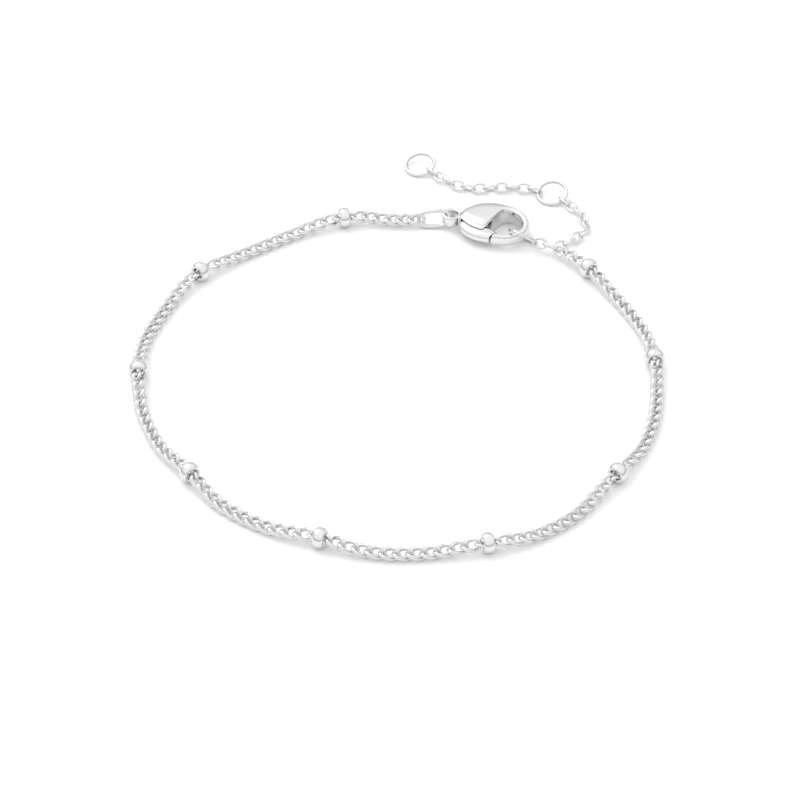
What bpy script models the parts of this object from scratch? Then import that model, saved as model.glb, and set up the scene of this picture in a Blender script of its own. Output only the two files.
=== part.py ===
"""A curb chain bracelet with rondelle beads, lying closed on a flat surface.

The strand of curb links runs from an oval jump ring on a lobster clasp round to a short
cable chain that the clasp holds by a ring. The rest of the cable chain lies free behind it
and carries two size rings. +X is to the right, +Y away from the wearer's side, +Z up.
"""

import math

import bmesh
import bpy
import numpy as np
from mathutils import Matrix, Vector

MM = 0.001

# Curb chain: twisted oval links of round wire
CURB_WIRE = 0.34 * MM
CURB_PITCH = 1.29 * MM
CURB_WIDTH = 1.30 * MM
END_CURB_COUNT = 2
END_CABLE_COUNT = 3
LINK_SIDES = 10
WIRE_SIDES = 5
SECTION_TURN = math.radians(28)

# How a link passes its neighbours, as shares of its wire: half the way between the two
# middle lines at the ends, the rise of its sides, and the tilt that brings one of the
# two crossings together and opens the other
HALF_END_SHARE = 0.58
TWIST_SHARE = 0.74
TILT_SHARE = 0.215
LOOSE_TWIST_SHARE = 0.90
CORE_TWIST_SHARE = 0.90
CORE_TILT_SHARE = 0.15
CABLE_END_SHARE = 0.36

# Rondelle beads, each on a narrow core link
BEAD_RADIUS = 1.08 * MM
BEAD_LENGTH = 1.15 * MM
BEAD_HOLE_RADIUS = 0.56 * MM
BEAD_ROUNDING = 0.34 * MM
BEAD_GAP = 0.07 * MM
BEAD_SIDES = 10
CORE_WIRE = 0.30 * MM
CORE_WIDTH = 0.92 * MM
RISE_LENGTH = 5.2 * MM

# Cable chain of the extension, and its rings
CABLE_WIRE = 0.26 * MM
CABLE_PITCH = 1.20 * MM
CABLE_WIDTH = 1.22 * MM
CABLE_ROLL = math.radians(45)
SIZE_RING_RADIUS = 1.775 * MM
SIZE_RING_WIRE = 0.38 * MM
SIZE_RING_LEAN = math.radians(13)
CLASP_RING_LEAN = math.radians(47)
CLASP_RING_RISE = math.radians(6)
RING_SIDES = 14
PIECE_GAP = 0.04 * MM
FLOOR_GAP = 0.01 * MM

# Oval jump ring with a split, between the strand and the clasp's eyelet
JUMP_RING_LENGTH = 3.7 * MM
JUMP_RING_WIDTH = 2.2 * MM
JUMP_RING_WIRE = 0.40 * MM
JUMP_RING_ROUNDNESS = 2.6
JUMP_RING_SPLIT = math.radians(9)
JUMP_RING_SPLIT_AT = math.radians(128)
JUMP_RING_LEAN = math.radians(62)
JUMP_RING_SIDES = 13
JUMP_RING_PLAY = 0.12 * MM
JUMP_RING_HEADING = math.radians(0.9)
EYELET_PULL = 0.24 * MM

# Lobster clasp: eyelet, teardrop body with its hook, gate lever on a rivet
CLASP_REACH = 8.6 * MM
CLASP_WIDTH = 5.8 * MM
CLASP_THICKNESS = 2.3 * MM
CLASP_TURN = math.radians(-11.4)
SECTION_ROUNDNESS = 2.6
EYELET_RADIUS = 1.05 * MM
EYELET_HOLE_RADIUS = 0.68 * MM
EYELET_HEIGHT = 1.0 * MM
EYELET_BEVEL = 0.11 * MM
EYELET_SIDES = 14
SLOT_HEIGHT = 1.34 * MM
LEVER_GAP = 0.06 * MM
RIVET_RADIUS = 0.28 * MM
RIVET_SIDES = 10
RIVET_RECESS = 0.08 * MM
PIVOT_ALONG = 0.273
PIVOT_ACROSS = -0.172
GATE_GAP = 0.10 * MM

# From the middle of the hook, where the ring hangs, to the strand's last link
CLASP_RING_HANG = 1.90 * MM
CLASP_RING_HEADING = math.radians(-29.5)

# Sections of the clasp's body from the neck to the hook's tip. Along is a share of
# CLASP_REACH, across of CLASP_WIDTH and height of CLASP_THICKNESS.
# Columns: outer along, outer across, inner along, inner across, height
BODY_SECTIONS = (
    (0.094, 0.110, 0.094, -0.110, 0.44),
    (0.175, 0.262, 0.145, -0.190, 0.74),
    (0.295, 0.410, 0.250, -0.320, 0.93),
    (0.430, 0.485, 0.355, -0.390, 1.00),
    (0.560, 0.498, 0.435, -0.400, 1.00),
    (0.655, 0.465, 0.500, -0.165, 0.96),
    (0.735, 0.410, 0.565, 0.10, 0.90),
    (0.790, 0.360, 0.640, 0.205, 0.86),
    (0.850, 0.298, 0.738, 0.205, 0.84),
    (0.925, 0.195, 0.826, 0.124, 0.81),
    (0.983, 0.055, 0.890, 0.000, 0.78),
    (1.000, -0.109, 0.907, -0.118, 0.74),
    (0.971, -0.273, 0.884, -0.227, 0.66),
    (0.890, -0.409, 0.826, -0.313, 0.60),
    (0.767, -0.509, 0.733, -0.382, 0.58),
    (0.566, -0.545, 0.613, -0.409, 0.58),
)

# Sections of the gate lever from its thumb tab to just before its end, whose face is
# worked out. Height is a share of the lever's own thickness.
# Columns: outer along, outer across, inner along, inner across, height
LEVER_SECTIONS = (
    (0.122, -0.227, 0.169, -0.136, 0.75),
    (0.157, -0.336, 0.221, -0.045, 0.97),
    (0.233, -0.436, 0.314, -0.036, 1.00),
    (0.337, -0.513, 0.395, -0.173, 1.00),
    (0.442, -0.545, 0.477, -0.309, 1.00),
    (0.523, -0.551, 0.535, -0.373, 0.96),
)

# The lever's end face
# Columns: outer across, inner across, height
LEVER_END = (-0.545, -0.400, 0.92)

# Outline of the slot in the body that the lever swings in, as shares like the sections'
SLOT_OUTLINE = (
    (0.160, 0.012),
    (0.370, 0.012),
    (0.500, -0.050),
    (0.595, -0.050),
    (0.595, -0.400),
    (0.545, -0.560),
    (0.545, -0.700),
    (0.040, -0.700),
    (0.070, -0.130),
    (0.135, -0.100),
)

# The rows above where the ring hangs on the hook
HOOK_SECTIONS_AT_RING = (12, 14)

# The strand's way over the surface in millimetres, from the jump ring round to the
# clasp. Each run after the first starts at the middle of a bead, and the last ends at
# the link that the clasp's ring holds.
STRAND_ROUTE = (
    ((2.65, 20.1), (-0.3, 20.2), (-3.0, 20.5)),
    ((-5.74, 20.3), (-8.1, 19.45), (-10.7, 18.2), (-13.3, 16.6), (-16.3, 14.6), (-19.0, 12.6)),
    ((-20.89, 11.1), (-23.5, 7.05), (-25.6, 2.15), (-26.3, -0.7)),
    ((-26.55, -4.85), (-26.2, -8.5), (-25.5, -11.85), (-23.4, -16.7)),
    ((-20.55, -20.3), (-18.3, -23.6), (-15.3, -26.2), (-12.5, -27.9), (-9.8, -29.0)),
    ((-7.45, -29.6), (-4.9, -30.75), (-0.3, -31.55), (4.4, -31.25)),
    ((8.85, -30.4), (12.2, -29.55), (15.0, -28.0), (17.8, -25.7)),
    ((21.9, -20.4), (24.3, -16.8), (26.0, -11.9), (26.6, -6.5)),
    ((26.5, -2.95), (25.6, 1.85), (23.5, 6.45), (22.2, 8.5)),
    ((20.35, 11.65), (18.6, 13.5), (16.9, 15.05)),
)

# The free cable chain's two stretches in millimetres: strand to middle ring, and on to
# the end ring
CABLE_ROUTE_NEAR = (
    (17.75, 16.05),
    (19.1, 17.25),
    (20.1, 18.3),
    (20.5, 19.3),
    (20.2, 20.6),
    (19.65, 21.8),
    (18.34, 23.67),
)
CABLE_ROUTE_FAR = (
    (14.87, 25.73),
    (13.2, 26.1),
    (11.5, 26.15),
    (9.6, 26.0),
    (7.8, 26.05),
    (6.3, 26.7),
    (4.0, 28.76),
)
MIDDLE_RING_PLACE = Vector((16.9, 25.2, 0.0)) * MM
MIDDLE_RING_HIGH_SIDE = math.radians(60)
END_RING_PLACE = Vector((2.5, 30.3, 0.0)) * MM
END_RING_HIGH_SIDE = math.radians(45)
CABLE_TUBE_RADIUS = 0.5 * (CABLE_WIDTH - CABLE_WIRE) * math.cos(CABLE_ROLL) + 0.5 * CABLE_WIRE

SAMPLES_PER_SPAN = 24
WELD = 0.001 * MM


def empty_scene():
    for old in list(bpy.data.objects):
        bpy.data.objects.remove(old, do_unlink=True)
    main = bpy.context.scene.collection
    made = []
    for name in ("ball_chain_bracelet", "helpers"):
        collection = bpy.data.collections.new(name)
        main.children.link(collection)
        made.append(collection)
    return made


def metal(name, grey, roughness):
    """A plain polished metal of one grey."""
    material = bpy.data.materials.new(name)
    material.use_nodes = True
    shader = material.node_tree.nodes["Principled BSDF"]
    shader.inputs["Base Color"].default_value = (grey, grey, 0.99 * grey, 1)
    shader.inputs["Metallic"].default_value = 1.0
    shader.inputs["Roughness"].default_value = roughness
    return material


def link_to(collection, obj):
    for old in list(obj.users_collection):
        old.objects.unlink(obj)
    collection.objects.link(obj)
    return obj


def hide_helper(obj):
    obj.hide_render = True
    obj.display_type = "WIRE"
    return obj


def smooth_line(points):
    """A smooth curve through the points, as closely spaced samples."""
    p = np.asarray(points, float)
    p = np.vstack([2 * p[0] - p[1], p, 2 * p[-1] - p[-2]])
    t = np.linspace(0, 1, SAMPLES_PER_SPAN, endpoint=False)[:, None]
    spans = []
    for a, b, c, d in zip(p[:-3], p[1:-2], p[2:-1], p[3:]):
        spans.append(
            0.5 * (2 * b + (c - a) * t + (2 * a - 5 * b + 4 * c - d) * t**2 + (3 * b - a - 3 * c + d) * t**3)
        )
    return np.vstack([*spans, p[-2]])


def lengths_along(line):
    return np.concatenate([[0], np.cumsum(np.linalg.norm(np.diff(line, axis=0), axis=1))])


def points_at(line, distances):
    along = lengths_along(line)
    return np.column_stack([np.interp(distances, along, line[:, k]) for k in range(line.shape[1])])


def passing_depth(outer_wire, inner_wire):
    """How far a ring's middle line lies behind the end of the link that it holds, from the link's pivot."""
    return 0.5 * (outer_wire + inner_wire) + PIECE_GAP - HALF_END_SHARE * inner_wire


def jump_ring_middle_height():
    half_width = 0.5 * (JUMP_RING_WIDTH - JUMP_RING_WIRE)
    return half_width * math.sin(JUMP_RING_LEAN) + 0.5 * JUMP_RING_WIRE + FLOOR_GAP


def clasp_ring_middle_height():
    radius = SIZE_RING_RADIUS - 0.5 * SIZE_RING_WIRE
    return radius * math.sin(CLASP_RING_LEAN) + 0.5 * SIZE_RING_WIRE + FLOOR_GAP


def jump_ring_middle_distance():
    """From the strand's first pivot to the middle of the jump ring."""
    half_length = 0.5 * (JUMP_RING_LENGTH - JUMP_RING_WIRE)
    return half_length - passing_depth(JUMP_RING_WIRE, CURB_WIRE) - JUMP_RING_PLAY


def heading(angle):
    return Vector((math.cos(angle), math.sin(angle)))


def eyelet_distance():
    """From the strand's first pivot to the eyelet's middle."""
    return jump_ring_middle_distance() + 0.5 * (JUMP_RING_LENGTH - JUMP_RING_WIRE) + EYELET_PULL


def eyelet_place():
    return Vector(STRAND_ROUTE[0][0]) * MM + eyelet_distance() * heading(JUMP_RING_HEADING)


def hook_place():
    """The middle of the hook's band where the ring hangs on it."""
    first, last = HOOK_SECTIONS_AT_RING
    rows = np.asarray(BODY_SECTIONS[first:last]).mean(axis=0)
    along = 0.5 * (rows[0] + rows[2]) * CLASP_REACH
    across = 0.5 * (rows[1] + rows[3]) * CLASP_WIDTH
    return eyelet_place() + Matrix.Rotation(CLASP_TURN, 2) @ Vector((along, across))


def strand_line():
    """The whole strand over the surface, to the link that the clasp's ring holds."""
    points = [Vector(point) * MM for run in STRAND_ROUTE for point in run]
    return smooth_line([*points, hook_place() + CLASP_RING_HANG * heading(CLASP_RING_HEADING)])


def strand_end_heights():
    """Heights of the strand's first and last pivots, from the rings that hold them."""
    share = jump_ring_middle_distance() / eyelet_distance()
    first = (jump_ring_middle_height() - share * 0.5 * CLASP_THICKNESS) / (1 - share)
    last = clasp_ring_middle_height() - (SIZE_RING_RADIUS - 0.5 * SIZE_RING_WIRE) * math.sin(CLASP_RING_RISE)
    return first, last


def core_link_pitch():
    return BEAD_LENGTH + 2 * (BEAD_GAP + (0.5 + HALF_END_SHARE) * CURB_WIRE)


def strand_steps(bead_stations, length):
    """The links of the strand in order, as (kind, pitch)."""
    core_pitch = core_link_pitch()
    steps = []
    reached = 0.0
    for place in bead_stations:
        run = place - 0.5 * core_pitch - reached
        count = round(run / CURB_PITCH)
        steps += [("curb", run / count)] * count
        steps.append(("core", core_pitch))
        reached = place + 0.5 * core_pitch
    steps += [("curb", CURB_PITCH)] * END_CURB_COUNT
    reached += END_CURB_COUNT * CURB_PITCH
    return steps + [("cable", (length - reached) / END_CABLE_COUNT)] * END_CABLE_COUNT


def strand_heights(stations, bead_stations):
    """The middle of the chain lies low between beads, and rises into each bead and to both ends."""
    resting = (TWIST_SHARE + 0.5 * TILT_SHARE + 0.5) * CURB_WIRE + FLOOR_GAP
    heights = np.full(len(stations), resting)
    first, last = strand_end_heights()
    lifts = [(place, 0.5 * core_link_pitch(), BEAD_RADIUS + FLOOR_GAP) for place in bead_stations]
    lifts += [(stations[0], 0, first), (stations[-1], 0, last)]
    for place, level, top in lifts:
        near = np.clip((np.abs(stations - place) - level) / RISE_LENGTH, 0, 1)
        heights += (top - resting) * np.cos(0.5 * math.pi * near) ** 2
    return heights


def link_frame(start, end, roll):
    """Unit vectors along, across and up for a link between two pivots."""
    along = (end - start) / np.linalg.norm(end - start)
    across = np.cross((0, 0, 1), along)
    across /= np.linalg.norm(across)
    up = np.cross(along, across)
    turned = math.cos(roll) * across + math.sin(roll) * up
    return along, turned, np.cross(along, turned)


def link_points(start, end, reach, width, twist, tilt, roll):
    """The middle line of one link: an oval whose long sides lean opposite ways by the twist.

    Twist and tilt are given for the start and the end of the link.
    """
    along, across, up = link_frame(start, end, roll)
    angle = (np.arange(LINK_SIDES) + 0.5) * 2 * math.pi / LINK_SIDES
    half = (0.5 * np.linalg.norm(end - start) + reach) / math.cos(math.pi / LINK_SIDES)
    at_end = np.cos(angle) > 0
    rise = np.where(at_end, twist[1], twist[0]) * np.sin(2 * angle)
    rise += np.where(at_end, tilt[1], tilt[0]) * np.cos(angle)
    return (
        0.5 * (start + end)
        + np.outer(half * np.cos(angle), along)
        + np.outer(0.5 * width * np.sin(angle), across)
        + np.outer(rise, up)
    )


def wire_section(wire, helpers):
    """A small polygon that a link's curve is swept with."""
    data = bpy.data.curves.new("wire_section", "CURVE")
    spline = data.splines.new("POLY")
    spline.points.add(WIRE_SIDES - 1)
    for k in range(WIRE_SIDES):
        angle = SECTION_TURN + 2 * math.pi * k / WIRE_SIDES
        spline.points[k].co = (0.5 * wire * math.cos(angle), 0.5 * wire * math.sin(angle), 0, 1)
    spline.use_cyclic_u = True
    section = bpy.data.objects.new("wire_section", data)
    helpers.objects.link(section)
    return hide_helper(section)


def loops_curve(name, loops, wire, helpers):
    """A curve object of closed loops of round wire."""
    data = bpy.data.curves.new(name, "CURVE")
    data.dimensions = "3D"
    data.bevel_mode = "OBJECT"
    data.bevel_object = wire_section(wire, helpers)
    for loop in loops:
        spline = data.splines.new("POLY")
        spline.points.add(len(loop) - 1)
        for point, place in zip(spline.points, loop):
            point.co = (*place, 1)
        spline.use_cyclic_u = True
    curve = bpy.data.objects.new(name, data)
    helpers.objects.link(curve)
    return curve


def as_mesh(obj, collection):
    """A mesh object in the place of a curve or a modified object, with loose caps welded."""
    bpy.context.view_layer.update()
    graph = bpy.context.evaluated_depsgraph_get()
    mesh = bpy.data.meshes.new_from_object(obj.evaluated_get(graph))
    work = bmesh.new()
    work.from_mesh(mesh)
    bmesh.ops.remove_doubles(work, verts=work.verts, dist=WELD)
    bmesh.ops.recalc_face_normals(work, faces=work.faces)
    work.to_mesh(mesh)
    work.free()
    name, matrix, parent = obj.name, obj.matrix_world.copy(), obj.parent
    bpy.data.objects.remove(obj, do_unlink=True)
    made = bpy.data.objects.new(name, mesh)
    collection.objects.link(made)
    made.parent = parent
    made.matrix_world = matrix
    return made


def cut_or_join(obj, other, operation, solver="EXACT"):
    modifier = obj.modifiers.new(operation.lower(), "BOOLEAN")
    modifier.operation = operation
    modifier.solver = solver
    modifier.object = hide_helper(other)


def joined_meshes(name, objects, collection):
    """One mesh object holding the meshes of several."""
    work = bmesh.new()
    for obj in objects:
        work.from_mesh(obj.data)
        bpy.data.objects.remove(obj, do_unlink=True)
    bmesh.ops.triangulate(work, faces=work.faces)
    mesh = bpy.data.meshes.new(name)
    work.to_mesh(mesh)
    work.free()
    made = bpy.data.objects.new(name, mesh)
    collection.objects.link(made)
    return made


def soldered_chain(name, loops, collection, helpers, material):
    """Interlocking links made one body: each second link is joined to those between."""
    halves = []
    for parity in (0, 1):
        every_second = loops[parity::2]
        by_wire = []
        for wire in sorted({wire for _, wire in every_second}):
            same = [loop for loop, own_wire in every_second if own_wire == wire]
            by_wire.append(as_mesh(loops_curve(f"{name}_wire", same, wire, helpers), helpers))
        halves.append(joined_meshes(f"{name}_{parity}", by_wire, helpers))
    chain = link_to(collection, halves[0])
    chain.name = name
    chain.data.materials.append(material)
    cut_or_join(chain, halves[1], "UNION", solver="MANIFOLD")
    return chain


def strand_links(steps, pivots, parted):
    """(loop, wire) for each link of the strand. A link in parted passes the one before it clear of it."""
    sizes = {
        "curb": (CURB_WIRE, CURB_WIDTH, TWIST_SHARE, TILT_SHARE),
        "core": (CORE_WIRE, CORE_WIDTH, CORE_TWIST_SHARE, CORE_TILT_SHARE),
        "cable": (CABLE_WIRE, CABLE_WIDTH, 0.0, 0.0),
    }
    links = []
    for number, (kind, _) in enumerate(steps):
        wire, width, twist_share, tilt_share = sizes[kind]
        twist, tilt = [twist_share * wire] * 2, [tilt_share * wire] * 2
        reach, roll = HALF_END_SHARE * wire, 0.0
        if kind == "cable":
            reach, roll = CABLE_END_SHARE * wire, -CABLE_ROLL * (-1) ** (len(steps) - 1 - number)
        elif number in parted:
            twist[0], tilt[0] = LOOSE_TWIST_SHARE * wire, 0.0
        elif number + 1 in parted:
            twist[1], tilt[1] = LOOSE_TWIST_SHARE * wire, 0.0
        loop = link_points(pivots[number], pivots[number + 1], reach, width - wire, twist, tilt, roll)
        links.append((loop, wire))
    return links


def make_strand(collection, helpers, material):
    """The curb chain as two bodies that meet at the middle bead, and the cable links at the clasp."""
    line = strand_line()
    along = lengths_along(line)
    bead_points = np.cumsum([len(run) for run in STRAND_ROUTE[:-1]])
    bead_stations = along[bead_points * SAMPLES_PER_SPAN]
    steps = strand_steps(bead_stations, along[-1])
    stations = np.concatenate([[0], np.cumsum([pitch for _, pitch in steps])])
    pivots = np.column_stack([points_at(line, stations), strand_heights(stations, bead_stations)])
    cores = [n for n, (kind, _) in enumerate(steps) if kind == "core"]
    first_right = cores[len(cores) // 2] + 2
    first_cable = [kind for kind, _ in steps].index("cable")
    links = strand_links(steps, pivots, (first_right, first_cable))
    spans = (
        ("curb_chain_left", 0, first_right),
        ("curb_chain_right", first_right, first_cable),
        ("cable_chain_at_clasp", first_cable, len(steps)),
    )
    for name, first, last in spans:
        soldered_chain(name, links[first:last], collection, helpers, material)
    return pivots, cores


def bead_profile():
    """Half of a rondelle's cut face, from the top of its rim down the outer side and up through the hole."""
    half = 0.5 * BEAD_LENGTH
    return (
        (BEAD_RADIUS - BEAD_ROUNDING, half),
        (BEAD_RADIUS, half - BEAD_ROUNDING),
        (BEAD_RADIUS, BEAD_ROUNDING - half),
        (BEAD_RADIUS - BEAD_ROUNDING, -half),
        (BEAD_HOLE_RADIUS, -half),
        (BEAD_HOLE_RADIUS, half),
    )


def turned(name, profile, sides, collection, material):
    """A closed profile turned about the object's Z axis."""
    mesh = bpy.data.meshes.new(name)
    count = len(profile)
    mesh.from_pydata([(r, 0, z) for r, z in profile], [(k, (k + 1) % count) for k in range(count)], [])
    obj = bpy.data.objects.new(name, mesh)
    collection.objects.link(obj)
    mesh.materials.append(material)
    screw = obj.modifiers.new("turn", "SCREW")
    screw.steps = screw.render_steps = sides
    screw.use_merge_vertices = True
    screw.merge_threshold = WELD
    return obj


def make_beads(pivots, cores, collection, material):
    for number, n in enumerate(cores, 1):
        start, end = Vector(pivots[n]), Vector(pivots[n + 1])
        bead = turned(f"bead_{number}", bead_profile(), BEAD_SIDES, collection, material)
        along = (end - start).normalized()
        across = Vector((0, 0, 1)).cross(along).normalized()
        down = along.cross(across)
        turn = Matrix((down, -across, along)).transposed().to_4x4()
        bead.matrix_world = Matrix.Translation(0.5 * (start + end)) @ turn


def add_ring(name, radius, wire, collection, material, sides=RING_SIDES):
    """A closed round ring in its own XY plane."""
    bpy.ops.mesh.primitive_torus_add(
        major_segments=sides,
        minor_segments=WIRE_SIDES,
        major_radius=radius - 0.5 * wire,
        minor_radius=0.5 * wire,
    )
    ring = link_to(collection, bpy.context.object)
    ring.name = name
    ring.data.materials.append(material)
    return ring


def make_size_rings(collection, material):
    """Two rings that lie leaning, each with one side on the surface."""
    for name, place, high_side in (
        ("size_ring_middle", MIDDLE_RING_PLACE, MIDDLE_RING_HIGH_SIDE),
        ("size_ring_end", END_RING_PLACE, END_RING_HIGH_SIDE),
    ):
        ring = add_ring(name, SIZE_RING_RADIUS, SIZE_RING_WIRE, collection, material)
        middle_line = SIZE_RING_RADIUS - 0.5 * SIZE_RING_WIRE
        rise = middle_line * math.sin(SIZE_RING_LEAN) + 0.5 * SIZE_RING_WIRE + FLOOR_GAP
        ring.location = place + Vector((0, 0, rise))
        ring.rotation_euler = (0, -SIZE_RING_LEAN, high_side)


def make_free_cables(collection, material):
    """The two free stretches of the extension, each as a tube of the chain's outer size."""
    for name, route in (("cable_chain_near", CABLE_ROUTE_NEAR), ("cable_chain_far", CABLE_ROUTE_FAR)):
        line = smooth_line(route) * MM
        length = lengths_along(line)[-1]
        count = max(4, round(length / (4 * CABLE_TUBE_RADIUS)))
        data = bpy.data.curves.new(name, "CURVE")
        data.dimensions = "3D"
        data.bevel_depth = CABLE_TUBE_RADIUS
        data.bevel_resolution = 2
        data.use_fill_caps = True
        spline = data.splines.new("POLY")
        spline.points.add(count)
        height = CABLE_TUBE_RADIUS + FLOOR_GAP
        for point, place in zip(spline.points, points_at(line, np.linspace(0, length, count + 1))):
            point.co = (*place, height, 1)
        cable = bpy.data.objects.new(name, data)
        collection.objects.link(cable)
        data.materials.append(material)


def section_shape(count):
    """A rounded rectangle with flat top and bottom, in units of its half width and half height."""
    angle = (np.arange(count) + 0.5) * 2 * math.pi / count
    power = 2 / SECTION_ROUNDNESS
    u = np.sign(np.cos(angle)) * np.abs(np.cos(angle)) ** power
    v = np.sign(np.sin(angle)) * np.abs(np.sin(angle)) ** power
    return u, v / v.max()


def lofted(name, sections, thickness, count, origin, collection, material):
    """A solid through sections that stand on edge between an outer and an inner point."""
    u, v = section_shape(count)
    work = bmesh.new()
    rings = []
    for outer_along, outer_across, inner_along, inner_across, height in sections:
        outer = Vector((outer_along * CLASP_REACH, outer_across * CLASP_WIDTH, 0))
        inner = Vector((inner_along * CLASP_REACH, inner_across * CLASP_WIDTH, 0))
        middle, half = 0.5 * (outer + inner), 0.5 * (outer - inner)
        rise = Vector((0, 0, 0.5 * height * thickness))
        rings.append([work.verts.new(middle + half * a + rise * b - origin) for a, b in zip(u, v)])
    for ring, following in zip(rings, rings[1:]):
        for k in range(count):
            after = (k + 1) % count
            work.faces.new((ring[k], ring[after], following[after], following[k]))
    work.faces.new(rings[0])
    work.faces.new(rings[-1])
    bmesh.ops.recalc_face_normals(work, faces=work.faces)
    mesh = bpy.data.meshes.new(name)
    work.to_mesh(mesh)
    work.free()
    obj = bpy.data.objects.new(name, mesh)
    collection.objects.link(obj)
    mesh.materials.append(material)
    return obj


def eyelet_profile():
    bevel, half = EYELET_BEVEL, 0.5 * EYELET_HEIGHT
    return (
        (EYELET_RADIUS - bevel, half),
        (EYELET_RADIUS, half - 2 * bevel),
        (EYELET_RADIUS, 2 * bevel - half),
        (EYELET_RADIUS - bevel, -half),
        (EYELET_HOLE_RADIUS + bevel, -half),
        (EYELET_HOLE_RADIUS, 2 * bevel - half),
        (EYELET_HOLE_RADIUS, half - 2 * bevel),
        (EYELET_HOLE_RADIUS + bevel, half),
    )


def upright_cylinder(name, radius, height, sides, place, collection):
    bpy.ops.mesh.primitive_cylinder_add(vertices=sides, radius=radius, depth=height)
    cylinder = link_to(collection, bpy.context.object)
    cylinder.name = name
    cylinder.location = place
    return cylinder


def slot_cutter(helpers):
    data = bpy.data.curves.new("slot_cutter", "CURVE")
    data.dimensions = "2D"
    data.fill_mode = "BOTH"
    data.extrude = 0.5 * SLOT_HEIGHT
    spline = data.splines.new("POLY")
    spline.points.add(len(SLOT_OUTLINE) - 1)
    for point, (along, across) in zip(spline.points, SLOT_OUTLINE):
        point.co = (along * CLASP_REACH, across * CLASP_WIDTH, 0, 1)
    spline.use_cyclic_u = True
    cutter = bpy.data.objects.new("slot_cutter", data)
    helpers.objects.link(cutter)
    return as_mesh(cutter, helpers)


def lever_end_along(across):
    """Where the lever ends at a place across it, so that it swings past the hook's tip with the gate's gap."""
    *_, tip_along, tip_across, _ = BODY_SECTIONS[-1]
    tip = Vector(((tip_along - PIVOT_ALONG) * CLASP_REACH, (tip_across - PIVOT_ACROSS) * CLASP_WIDTH))
    swing = tip.length - GATE_GAP
    return PIVOT_ALONG + math.sqrt(swing**2 - ((across - PIVOT_ACROSS) * CLASP_WIDTH) ** 2) / CLASP_REACH


def make_clasp(collection, helpers, body_metal, lever_metal, rivet_metal):
    """Body with eyelet and hook, gate lever and rivet, about the eyelet's middle."""
    middle = bpy.data.objects.new("clasp_middle", None)
    collection.objects.link(middle)
    middle.location = (*eyelet_place(), 0.5 * CLASP_THICKNESS)
    middle.rotation_euler = (0, 0, CLASP_TURN)
    pivot = Vector((PIVOT_ALONG * CLASP_REACH, PIVOT_ACROSS * CLASP_WIDTH, 0))
    hole_radius = RIVET_RADIUS + LEVER_GAP

    body = lofted("clasp_body", BODY_SECTIONS, CLASP_THICKNESS, 12, Vector(), collection, body_metal)
    eyelet = as_mesh(turned("eyelet", eyelet_profile(), EYELET_SIDES, helpers, body_metal), helpers)
    hole = upright_cylinder("body_rivet_hole", hole_radius, 2 * CLASP_THICKNESS, RIVET_SIDES, pivot, helpers)
    slot = slot_cutter(helpers)
    cut_or_join(body, slot, "DIFFERENCE")
    cut_or_join(body, hole, "DIFFERENCE")
    cut_or_join(body, eyelet, "UNION")

    lever_thickness = SLOT_HEIGHT - 2 * LEVER_GAP
    outer, inner, height = LEVER_END
    sections = (*LEVER_SECTIONS, (lever_end_along(outer), outer, lever_end_along(inner), inner, height))
    lever = lofted("clasp_lever", sections, lever_thickness, 10, pivot, collection, lever_metal)
    lever.location = pivot
    lever_hole = upright_cylinder("lever_hole", hole_radius, 2 * SLOT_HEIGHT, RIVET_SIDES, pivot, helpers)
    cut_or_join(lever, lever_hole, "DIFFERENCE")

    rivet = upright_cylinder(
        "clasp_rivet", RIVET_RADIUS, CLASP_THICKNESS - 2 * RIVET_RECESS, RIVET_SIDES, pivot, collection
    )
    rivet.data.materials.append(rivet_metal)
    for piece in (body, eyelet, hole, slot, lever, lever_hole, rivet):
        piece.parent = middle
    return middle


def leaning_frame(toward, lean):
    """Unit vectors of a ring's plane: along it, up its lean, and the ring's axis."""
    toward = toward.normalized()
    across = Vector((0, 0, 1)).cross(toward).normalized()
    up = toward.cross(across)
    leaning = across * math.cos(lean) + up * math.sin(lean)
    return toward, leaning, toward.cross(leaning)


def make_clasp_ring(pivots, collection, material):
    """The ring that the hook holds. It leans between the hook and the strand's last link."""
    last = Vector(pivots[-1])
    away = (hook_place() - last.to_2d()).to_3d()
    away.z = away.length * math.tan(CLASP_RING_RISE)
    toward, leaning, axis = leaning_frame(away, CLASP_RING_LEAN)
    ring = add_ring("size_ring_at_clasp", SIZE_RING_RADIUS, SIZE_RING_WIRE, collection, material)
    middle_line = SIZE_RING_RADIUS - 0.5 * SIZE_RING_WIRE
    centre = last + toward * (middle_line - passing_depth(SIZE_RING_WIRE, CABLE_WIRE))
    ring.matrix_world = Matrix.Translation(centre) @ Matrix((toward, leaning, axis)).transposed().to_4x4()


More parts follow.
